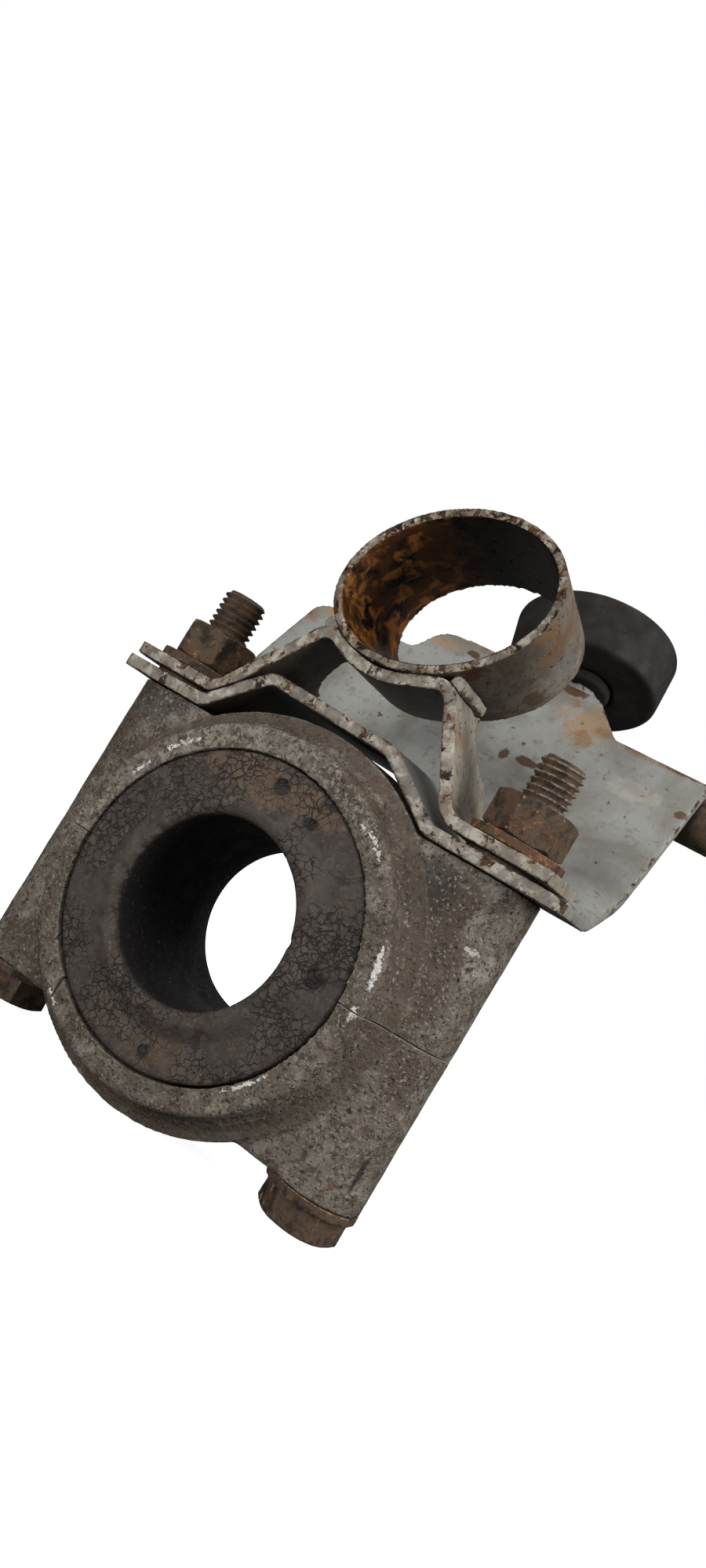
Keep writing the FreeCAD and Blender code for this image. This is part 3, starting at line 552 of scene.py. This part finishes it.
def thread(x, y, bottom, tip, look):  # helical thread with a chamfered tip
    pitch, crest, root = look["pitch"], look["crest"], look["crest"] - look["depth"]
    work = bmesh.new()
    start = bottom - pitch
    turns = int((tip - start) / pitch) + 2
    shape = [(root, 0.0), (root, 0.10), (crest, 0.43), (crest, 0.57), (root, 0.90), (root, 1.0)]
    chain = [work.verts.new(Vector((x + r, y, start + part * pitch)) * mm) for r, part in shape]
    edges = [work.edges.new(pair) for pair in zip(chain, chain[1:])]
    bmesh.ops.spin(work, geom=chain + edges, cent=Vector((x, y, 0)) * mm, axis=(0, 0, 1),
                   dvec=(0, 0, pitch * mm / look["steps"]), angle=2 * math.pi * turns,
                   steps=look["steps"] * turns)
    bmesh.ops.remove_doubles(work, verts=work.verts, dist=2e-6)
    clipAlong(work, (0, 0, 1), bottom, tip)
    for vert in work.verts:
        away = Vector((vert.co.x - x * mm, vert.co.y - y * mm))
        limit = (crest - look["chamfer"] - vert.co.z / mm + tip) * mm
        if away.length > limit:
            away *= limit / away.length
            vert.co.x, vert.co.y = x * mm + away.x, y * mm + away.y
    bmesh.ops.recalc_face_normals(work, faces=work.faces)
    return work


def boxOf(node):
    low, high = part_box(node)
    return low / mm, high / mm


ironRust = rustySteel("rustyNutSteel", 0.58, 0.64, 0.6, 0.0)
redRust = rustySteel("redRustWasher", 0.50, 0.57, 0.45, 1.6)
threadRust = rustySteel("rustyBoltSteel", 0.60, 0.67, 0.6, 2.7)
weldRust = rustySteel("rustyWeld", 0.48, 0.62, 0.2, 4.1)
dullSteel = rustySteel("dullSmallSteel", 0.64, 0.70, 0.9, 5.2)
casting = castAlloy()
bushRubber = agedRubber()
bufferSkin = bufferRubber()

platePlaces = [
    ((32.0, 79.0, 95.0), (12.0, 9.0, 9.0), "tan", 0.8),
    ((38.0, 78.8, 94.8), (5.0, 3.0, 3.0), "stain", 1.0),
    ((33.5, 76.0, 90.0), (4.0, 5.0, 7.0), "stain", 0.8),
    ((22.0, 84.0, 103.8), (6.0, 4.0, 2.4), "rust", 1.0),
    ((24.5, 82.0, 100.0), (3.0, 4.0, 2.6), "stain", 0.9),
    ((56.0, 78.6, 94.6), (19.0, 3.0, 1.7), "stain", 1.0),
    ((46.0, 78.9, 95.2), (6.0, 2.0, 0.9), "deep", 0.9),
    ((63.0, 78.4, 94.6), (7.0, 2.0, 0.8), "rust", 1.0),
    ((69.2, 71.7, 82.9), (2.0, 2.0, 1.6), "rust", 1.0),
    ((19.1, 66.9, 74.7), (1.3, 2.0, 2.6), "rust", 1.0),
    ((26.2, 67.7, 76.0), (3.6, 3.0, 1.9), "rust", 1.0),
    ((21.4, 70.0, 80.5), (0.8, 1.0, 0.8), "rust", 1.0),
    ((-11.4, 81.5, 99.6), (2.6, 2.0, 1.2), "rust", 1.0),
    ((-20.5, 80.5, 98.6), (8.0, 4.0, 2.6), "tan", 0.9),
    ((-63.0, 74.1, 87.0), (3.5, 4.0, 4.0), "stain", 0.9),
    ((-55.0, 76.5, 91.0), (9.0, 4.0, 3.0), "tan", 0.9),
    ((-5.0, 83.0, 102.5), (24.0, 3.0, 1.3), "stain", 0.7),
    ((23.0, 77.0, 91.6), (3.0, 3.0, 3.4), "blueSheen", 0.7),
    ((13.0, 74.0, 87.0), (7.0, 4.0, 4.0), "blueSheen", 0.5),
    ((55.5, 71.8, 83.0), (7.0, 4.0, 4.5), "primer", 0.3),
    ((40.0, 60.0, 62.0), (22.0, 12.0, 12.0), "shade", 0.22),
    ((69.8, 51.2, 48.0), (4.0, 4.0, 3.0), "rust", 0.8),
    ((73.4, 66.0, 74.0), (1.2, 16.0, 26.0), "rust", 0.8),
    ((50.0, 30.0, 45.0), (15.0, 10.0, 3.0), "rust", 0.6),
]
bracketPaint = chippedPaint("chippedGreyPaint", paintLook["bracket"], platePlaces)
strapPlaces = [
    ((28.0, 12.0, 76.0), (2.6, 8.0, 5.0), "deep", 0.9),
    ((27.5, 12.0, 64.0), (2.0, 8.0, 9.0), "stain", 0.7),
    ((38.0, 12.0, 49.0), (8.0, 8.0, 3.0), "rust", 0.8),
    ((-18.0, 12.0, 72.0), (6.0, 8.0, 4.0), "shade", 0.7),
    ((-52.0, 20.0, 50.0), (9.0, 10.0, 2.0), "rust", 0.5),
    ((2.0, 9.0, 66.0), (14.0, 4.0, 4.0), "shade", 0.7),
]
strapPaint = chippedPaint("chippedStrapPaint", paintLook["strap"], strapPlaces)


ringPlace = {"x": 7.8, "z": 95.5}


# the near-black colour here is painted shade inside the ring
innerLook = {"rust": (0.085, 0.034, 0.013), "paintedShade": (0.004, 0.003, 0.003), "orange": (0.33, 0.125, 0.030)}


def innerRust(tree, colour):  # the wall inside the ring is rusty at the left, and painted shade makes it black at the back and dark in patches
    place = put(tree, "TexCoord").outputs["Object"]
    centre = (ringPlace["x"] * mm, 0.0, ringPlace["z"] * mm)
    out = put(tree, "VectorMath", {0: place, 1: centre}, operation="SUBTRACT").outputs[0]
    out = put(tree, "VectorMath", {0: out, 1: (1.0, 0.0, 1.0)}, operation="MULTIPLY").outputs[0]
    out = put(tree, "VectorMath", {0: out}, operation="NORMALIZE").outputs[0]
    facing = put(tree, "VectorMath", {0: put(tree, "TexCoord").outputs["Normal"], 1: out},
                 operation="DOT_PRODUCT").outputs["Value"]
    within = ramp(tree, facing, -0.25, -0.6)
    # painted shade, darkening the inner wall towards +X
    paintedShade = ramp(tree, put(tree, "SeparateXYZ", {0: place}).outputs["X"], -0.012, 0.006)
    tone = layer(tree, innerLook["rust"], innerLook["paintedShade"], blotch(tree, 110.0, 0.50, 0.08, 0.9))
    bright = calc(tree, "MULTIPLY", blotch(tree, 190.0, 0.55, 0.07, 1.9), calc(tree, "SUBTRACT", 1.0, paintedShade))
    tone = layer(tree, tone, innerLook["orange"], bright)
    tone = layer(tree, tone, innerLook["paintedShade"], calc(tree, "MULTIPLY", paintedShade, 0.95))
    return layer(tree, colour, tone, within)


ringPlaces = [
    ((33.0, 20.0, 100.0), (4.0, 9.0, 12.0), "stain", 0.5),
    ((20.0, 26.0, 79.0), (11.0, 20.0, 5.0), "shade", 0.9),
    ((24.0, 11.0, 80.0), (4.0, 5.0, 4.0), "rust", 1.0),
    ((36.0, 30.0, 96.0), (4.0, 8.0, 7.0), "blueSheen", 0.6),
    ((34.0, 12.0, 96.0), (4.0, 3.0, 9.0), "stain", 0.9),
    ((31.0, 34.0, 86.0), (3.0, 4.0, 3.0), "rust", 0.7),
]
ringPaint = chippedPaint("chippedRingPaint", paintLook["ring"], ringPlaces, innerRust)
print("materials made:", len(bpy.data.materials))


skins = {  # node: name, voxel, unevenness and who wears which finish
    "upper_housing": ("upper_casting", casting, "upper_clamp", "cast_alloy",
                      {"voxel": 0.66, "lump": 0.22, "lumpSize": 6.0, "grit": 0.10, "gritSize": 1.6,
                       "seed": 1.0, "overrun": 1.5}),
    "lower_housing": ("lower_casting", casting, "lower_clamp", "cast_alloy",
                      {"voxel": 0.66, "lump": 0.22, "lumpSize": 6.0, "grit": 0.10, "gritSize": 1.6,
                       "seed": 2.0, "overrun": 1.5}),
    "bracket": ("folded_bracket", bracketPaint, "upper_clamp", "bracket_paint",
                {"voxel": 0.7, "lump": 0.25, "lumpSize": 14.0, "grit": 0.05, "gritSize": 2.5, "seed": 3.0}),
    "saddle_strap": ("saddle_strap_bent", strapPaint, "upper_clamp", "strap_paint",
                     {"voxel": 0.5, "lump": 0.15, "lumpSize": 9.0, "grit": 0.06, "gritSize": 1.8,
                      "seed": 4.0}),
    "tube_ring": ("oval_ring", ringPaint, "upper_clamp", "strap_paint",
                  {"voxel": 0.5, "lump": 0.15, "lumpSize": 8.0, "grit": 0.10, "gritSize": 1.5, "seed": 5.0}),
    "ring_weld_left": ("left_weld_bead", strapPaint, "upper_clamp", "weld_steel",
                       {"voxel": 0.25, "lump": 0.5, "lumpSize": 2.2, "grit": 0.15, "gritSize": 0.8,
                        "seed": 6.0}),
    "ring_weld_right": ("right_weld_bead", strapPaint, "upper_clamp", "weld_steel",
                        {"voxel": 0.25, "lump": 0.5, "lumpSize": 2.2, "grit": 0.15, "gritSize": 0.8,
                         "seed": 7.0}),
    "rear_peg_weld": ("peg_weld_bead", weldRust, "upper_clamp", "weld_steel",
                      {"voxel": 0.25, "lump": 0.5, "lumpSize": 2.2, "grit": 0.15, "gritSize": 0.8,
                       "seed": 8.0}),
    "rear_peg": ("round_peg", threadRust, "upper_clamp", "bolt_steel",
                 {"voxel": 0.4, "lump": 0.12, "lumpSize": 5.0, "grit": 0.08, "gritSize": 1.2, "seed": 9.0}),
    "buffer_boss": ("bonded_boss", bufferSkin, "buffer", "buffer_rubber",
                    {"voxel": 0.35, "lump": 0.10, "lumpSize": 4.0, "grit": 0.05, "gritSize": 1.2,
                     "seed": 10.0}),
    "buffer_washer": ("buffer_plain_washer", dullSteel, "buffer", "small_steel",
                      {"voxel": 0.2, "lump": 0.04, "lumpSize": 3.0, "grit": 0.03, "gritSize": 0.9,
                       "seed": 11.0}),
    "buffer_nut": ("buffer_hex_nut", dullSteel, "buffer", "small_steel",
                   {"voxel": 0.22, "lump": 0.05, "lumpSize": 3.0, "grit": 0.03, "gritSize": 0.9,
                    "seed": 12.0}),
}
for side, body in (("left", "left_nut"), ("right", "right_nut")):
    seed = 13.0 if side == "left" else 23.0
    skins["nut_" + side] = (side + "_hex_nut", ironRust, body, "nut_steel",
                            {"voxel": 0.32, "lump": 0.14, "lumpSize": 3.5, "grit": 0.10, "gritSize": 1.0,
                             "seed": seed})
    washerRust = redRust if side == "right" else ironRust
    skins["nut_washer_" + side] = (side + "_nut_washer", washerRust, "upper_clamp", "nut_steel",
                                   {"voxel": 0.3, "lump": 0.14, "lumpSize": 4.0, "grit": 0.08, "gritSize": 1.0,
                                    "seed": seed + 1})
    skins["head_washer_" + side] = (side + "_head_washer", threadRust, "lower_clamp", "bolt_steel",
                                    {"voxel": 0.35, "lump": 0.08, "lumpSize": 4.0, "grit": 0.06, "gritSize": 1.0,
                                     "seed": seed + 2})
    skins["strap_spacer_" + side] = (side + "_thin_spacer", ironRust, "upper_clamp", "nut_steel",
                                     {"voxel": 0.2, "lump": 0.02, "lumpSize": 4.0, "grit": 0.02, "gritSize": 1.0,
                                      "seed": seed + 3})


def castHalf(node, look):  # the split face stays crisp: it is run past the split, then cut back
    low, high = boxOf(node)
    side = 1 if node == "upper_housing" else -1
    face = low.z if side > 0 else high.z
    work = mergedCopy(node)
    for vert in work.verts:
        if abs(vert.co.z / mm - face) < 0.05:
            vert.co.z -= side * look["overrun"] * mm
    work = weather(evenSkin(work, look["voxel"]), look)
    return clipAlong(work, (0, 0, 1), face if side > 0 else None, face if side < 0 else None)


for node, (name, material, body, slot, look) in skins.items():
    if "overrun" in look:
        skin = castHalf(node, look)
    else:
        skin = weather(evenSkin(mergedCopy(node), look["voxel"]), look)
    newPiece(name, skin, material, body, slot, node)
print("weathered skins made:", len(skins))


bushLooks = {
    "bore": 23.3, "outer": 39.85, "play": 0.12, "edge": 0.6, "mouth": 3.0, "lip": 2.0, "collar": 5.0,
    "sink": 0.4, "length": 45.0, "steps": 220, "rows": 10, "slopeRows": 6, "roundRows": 8,
    # small round moulding marks: x, z and radius, and how thick the raised ring is
    "marks": [(0.3, 34.5, 1.9), (32.3, 1.3, 2.0), (12.2, 30.5, 1.2), (4.9, -34.6, 1.5)], "bead": 0.28,
    # nicks round the lip: how far apart, from which noise level, how steep and how deep
    "nickSize": 3.2, "nickFrom": 0.22, "nickSteep": 4, "nickDeep": 0.9, "nickReach": 2.5,
}
bushWear = {"lump": 0.12, "lumpSize": 7.0, "grit": 0.05, "gritSize": 1.8, "seed": 30.0}


def rubberBush():
    look = bushLooks
    outer = look["outer"] - look["play"]
    slope = look["bore"] + look["mouth"]
    flat = outer - look["edge"]
    front = [(outer, look["length"] / 2), (outer, look["sink"] + look["edge"]), (flat, look["sink"])]
    for k in range(1, look["rows"] + 1):  # flat face
        front.append((flat - (flat - slope - look["collar"]) * k / look["rows"], look["sink"]))
    for k in range(1, look["slopeRows"] + 1):  # slope up to the lip
        part = k / look["slopeRows"]
        eased = part * part * (3 - 2 * part)
        rise = (look["sink"] + look["lip"]) * eased
        front.append((slope + look["collar"] * (1 - part), look["sink"] - rise))
    for k in range(1, look["roundRows"] + 1):  # rounded mouth
        turn = math.radians(90 * k / look["roundRows"])
        front.append((slope - look["mouth"] * math.sin(turn), -look["lip"] * math.cos(turn)))
    for k in range(1, look["roundRows"] + 1):  # wall of the bore
        front.append((look["bore"], look["length"] / 2 * k / look["roundRows"]))
    rear = [(radius, look["length"] - depth) for radius, depth in reversed(front[:-1])]
    work = spun(front + rear, (0, 0, 0), (0, 1, 0), (1, 0, 0), look["steps"])
    weather(work, bushWear)
    for vert in work.verts:  # nicks round the front lip
        radius = math.hypot(vert.co.x, vert.co.z) / mm
        if vert.co.y < 0.0003 and radius < slope + look["nickReach"]:
            nick = noise.noise(vert.co / mm / look["nickSize"] + Vector((7.0, 7.0, 7.0))) - look["nickFrom"]
            if nick > 0:
                vert.co.y += min(look["nickDeep"], nick * look["nickSteep"]) * mm
    bead = look["bead"]
    for x, z, size in look["marks"]:
        ring = [(size + bead * math.cos(t), look["sink"] - 0.02 - bead * math.sin(t))
                for t in (math.radians(-30 + 30 * k) for k in range(9))]
        addShell(work, spun(ring + ring[:1], (x, 0, z), (0, 1, 0), (1, 0, 0), 32))
    return newPiece("rubber_bush_aged", work, bushRubber, "upper_clamp", "bush_rubber", "rubber_bush")


rubberBush()
print("bush made")


threadLook = {"pitch": 1.75, "crest": 6.0, "depth": 0.95, "chamfer": 1.1, "steps": 48}
headLook = {"voxel": 0.35, "lump": 0.14, "lumpSize": 3.5, "grit": 0.10, "gritSize": 1.0, "seed": 40.0}


shankLook = {"radius": 5.85, "rows": 90, "steps": 48, "intoNut": 2.0, "threadFrom": 1.0, "overHead": 0.4}
threadWear = {"lump": 0.06, "lumpSize": 2.5, "grit": 0.06, "gritSize": 0.7, "seed": 41.0}


def threadedBolt(side):
    look = shankLook
    boltHigh = boxOf("bolt_" + side)[1]
    nutLow = boxOf("nut_" + side)[0]
    washerLow, washerHigh = boxOf("nut_washer_" + side)
    x, y = (washerLow.x + washerHigh.x) / 2, (washerLow.y + washerHigh.y) / 2
    headTop = boxOf("head_washer_" + side)[0].z
    head = clipAlong(mergedCopy("bolt_" + side), (0, 0, 1), None, headTop + look["overHead"])
    work = weather(evenSkin(head, headLook["voxel"]), headLook)
    top = nutLow.z + look["intoNut"]
    shank = [(0.0, headTop)]
    for k in range(look["rows"] + 1):
        shank.append((look["radius"], headTop + (top - headTop) * k / look["rows"]))
    shank.append((0.0, top))
    addShell(work, spun(shank, (x, y, 0), (0, 0, 1), (1, 0, 0), look["steps"]))
    addShell(work, weather(thread(x, y, nutLow.z + look["threadFrom"], boltHigh.z, threadLook), threadWear))
    return newPiece(side + "_threaded_bolt", work, threadRust, "lower_clamp", "bolt_steel", "bolt_" + side)


for side in ("left", "right"):
    threadedBolt(side)
print("bolts made")


bufferLooks = {"front": 24.1, "back": 25.7, "thick": 17.6, "edge": 1.7, "bossR": 9.8, "groove": 0.9,
               "grooveDepth": 1.6, "steps": 160, "seat": (18.1, 97.33, 105.70), "axis": (-0.23, 0.29, 0.93),
               "stand": 2.45, "grooveEdge": 0.25}
bufferWear = {"lump": 0.2, "lumpSize": 9.0, "grit": 0.04, "gritSize": 1.6, "seed": 50.0}


def rubberBuffer():
    look = bufferLooks
    axis = Vector(look["axis"]).normalized()
    across = (Vector((0, 1, 0)) - axis * axis.y).normalized()
    face = Vector(look["seat"]) + axis * look["stand"]
    grooveR = look["bossR"] + look["groove"]
    profile = [(0.0, look["grooveDepth"]), (grooveR, look["grooveDepth"]),
               (grooveR, look["grooveEdge"]), (grooveR + look["grooveEdge"], 0.0)]
    for k in range(1, 8):
        profile.append((grooveR + (look["front"] - look["edge"] - grooveR) * k / 8, 0.0))
    for k in range(5):
        turn = math.radians(90 * k / 4)
        profile.append((look["front"] - look["edge"] * (1 - math.sin(turn)),
                        look["edge"] * (1 - math.cos(turn))))
    for k in range(1, 8):
        part = k / 8
        profile.append((look["front"] + (look["back"] - look["front"]) * part,
                        look["edge"] + (look["thick"] - 2 * look["edge"]) * part))
    for k in range(5):
        turn = math.radians(90 * k / 4)
        profile.append((look["back"] - look["edge"] * (1 - math.cos(turn)),
                        look["thick"] - look["edge"] * (1 - math.sin(turn))))
    profile += [((look["back"] - look["edge"]) * (1 - k / 6), look["thick"]) for k in range(1, 7)]
    work = spun(profile, face, axis, across, look["steps"])
    weather(work, bufferWear)
    return newPiece("round_buffer", work, bufferSkin, "buffer", "buffer_rubber", "buffer_rubber")


rubberBuffer()


studLook = {"pitch": 1.0, "crest": 2.98, "depth": 0.5, "chamfer": 0.5, "steps": 32, "across": 6.0}


def bufferStud():
    low, high = boxOf("buffer_stud")
    axis = Vector(bufferLooks["axis"]).normalized()
    length = (high.z - low.z - studLook["across"] * math.sqrt(1 - axis.z ** 2)) / axis.z
    work = thread(0.0, 0.0, 0.0, length, studLook)
    spin = Vector((0, 0, 1)).rotation_difference(-axis).to_matrix().to_4x4()
    middle = (low + high) / 2
    place = Matrix.Translation((middle + axis * length / 2) * mm) @ spin
    bmesh.ops.transform(work, matrix=place, verts=work.verts)
    return newPiece("buffer_threaded_stud", work, dullSteel, "buffer", "small_steel", "buffer_stud")


bufferStud()
print("buffer made")


cameraLook = {
    "place": (0.13374, -0.24389, 0.03207), "lens": 27.05,
    "right": (0.7805, 0.3532, 0.5158), "up": (-0.4495, -0.2562, 0.8557), "back": (0.4344, -0.8998, -0.0412),
}


def makeCamera():
    data = bpy.data.cameras.new("viewer")
    data.sensor_width = 36.0
    data.lens = cameraLook["lens"]
    data.clip_start = 0.01
    data.clip_end = 20.0
    camera = bpy.data.objects.new("viewer", data)
    turn = Matrix((cameraLook["right"], cameraLook["up"], cameraLook["back"])).transposed()
    camera.matrix_world = Matrix.Translation(cameraLook["place"]) @ turn.to_4x4()
    scene.collection.objects.link(camera)
    scene.camera = camera


lightLook = {  # offsets from the part along the view's right, up and towards the camera, in metres
    "key": {"offset": (0.25, 0.80, 0.55), "size": 0.6, "power": 3.4},
    "fill": {"offset": (-0.42, 0.40, 0.75), "size": 0.5, "power": 6.2},
    "side": {"offset": (0.85, -0.10, 0.40), "size": 0.6, "power": 8.0},
    "rim": {"offset": (0.45, 0.70, -0.55), "size": 0.6, "power": 2.5},
}


def makeLights():
    right, up, back = (Vector(cameraLook[key]) for key in ("right", "up", "back"))
    middle = Vector((0.0, 0.03, 0.04))
    for name, look in lightLook.items():
        data = bpy.data.lights.new(name, "AREA")
        data.shape = "DISK"
        data.size = look["size"]
        data.energy = look["power"]
        lamp = bpy.data.objects.new(name, data)
        offset = right * look["offset"][0] + up * look["offset"][1] + back * look["offset"][2]
        lamp.location = middle + offset
        lamp.rotation_mode = "QUATERNION"
        lamp.rotation_quaternion = offset.to_track_quat("Z", "Y")
        scene.collection.objects.link(lamp)


def makeWorld():
    world = bpy.data.worlds.new("studio")
    scene.world = world
    world.use_nodes = True
    tree = world.node_tree
    tree.nodes.clear()
    seen = put(tree, "Background", {"Color": (1, 1, 1, 1), "Strength": 1.0})
    light = put(tree, "Background", {"Color": (0.96, 0.98, 1.0, 1), "Strength": 0.09})
    path = put(tree, "LightPath")
    mix = put(tree, "MixShader",
              {0: path.outputs["Is Camera Ray"], 1: light.outputs[0], 2: seen.outputs[0]})
    put(tree, "OutputWorld", {"Surface": mix.outputs[0]})


def makeFloor():
    work = bmesh.new()
    bmesh.ops.create_grid(work, x_segments=8, y_segments=8, size=6.0)
    bmesh.ops.translate(work, verts=work.verts, vec=(0, 0, cadLow.z - 0.0005))
    mesh = bpy.data.meshes.new("paleFloor")
    work.to_mesh(mesh)
    work.free()
    floor = bpy.data.objects.new("paleFloor", mesh)
    scene.collection.objects.link(floor)
    material, tree, shader = newMaterial("paleFloor")
    shader.inputs["Base Color"].default_value = (0.8, 0.8, 0.8, 1)
    shader.inputs["Roughness"].default_value = 0.9
    shader.inputs["Emission Color"].default_value = (1, 1, 1, 1)
    shader.inputs["Emission Strength"].default_value = 0.93
    plain = put(tree, "BsdfDiffuse", {"Color": (0.12, 0.12, 0.12, 1)})
    path = put(tree, "LightPath")
    mix = put(tree, "MixShader",
              {0: path.outputs["Is Camera Ray"], 1: plain.outputs[0], 2: shader.outputs[0]})
    tree.links.new(mix.outputs[0], tree.nodes["Material Output"].inputs["Surface"])
    mesh.materials.append(material)


makeCamera()
makeLights()
makeWorld()
makeFloor()
print("studio made")

total = sum(len(piece.data.polygons) for piece in pieces.values())
print("faces in all:", total)
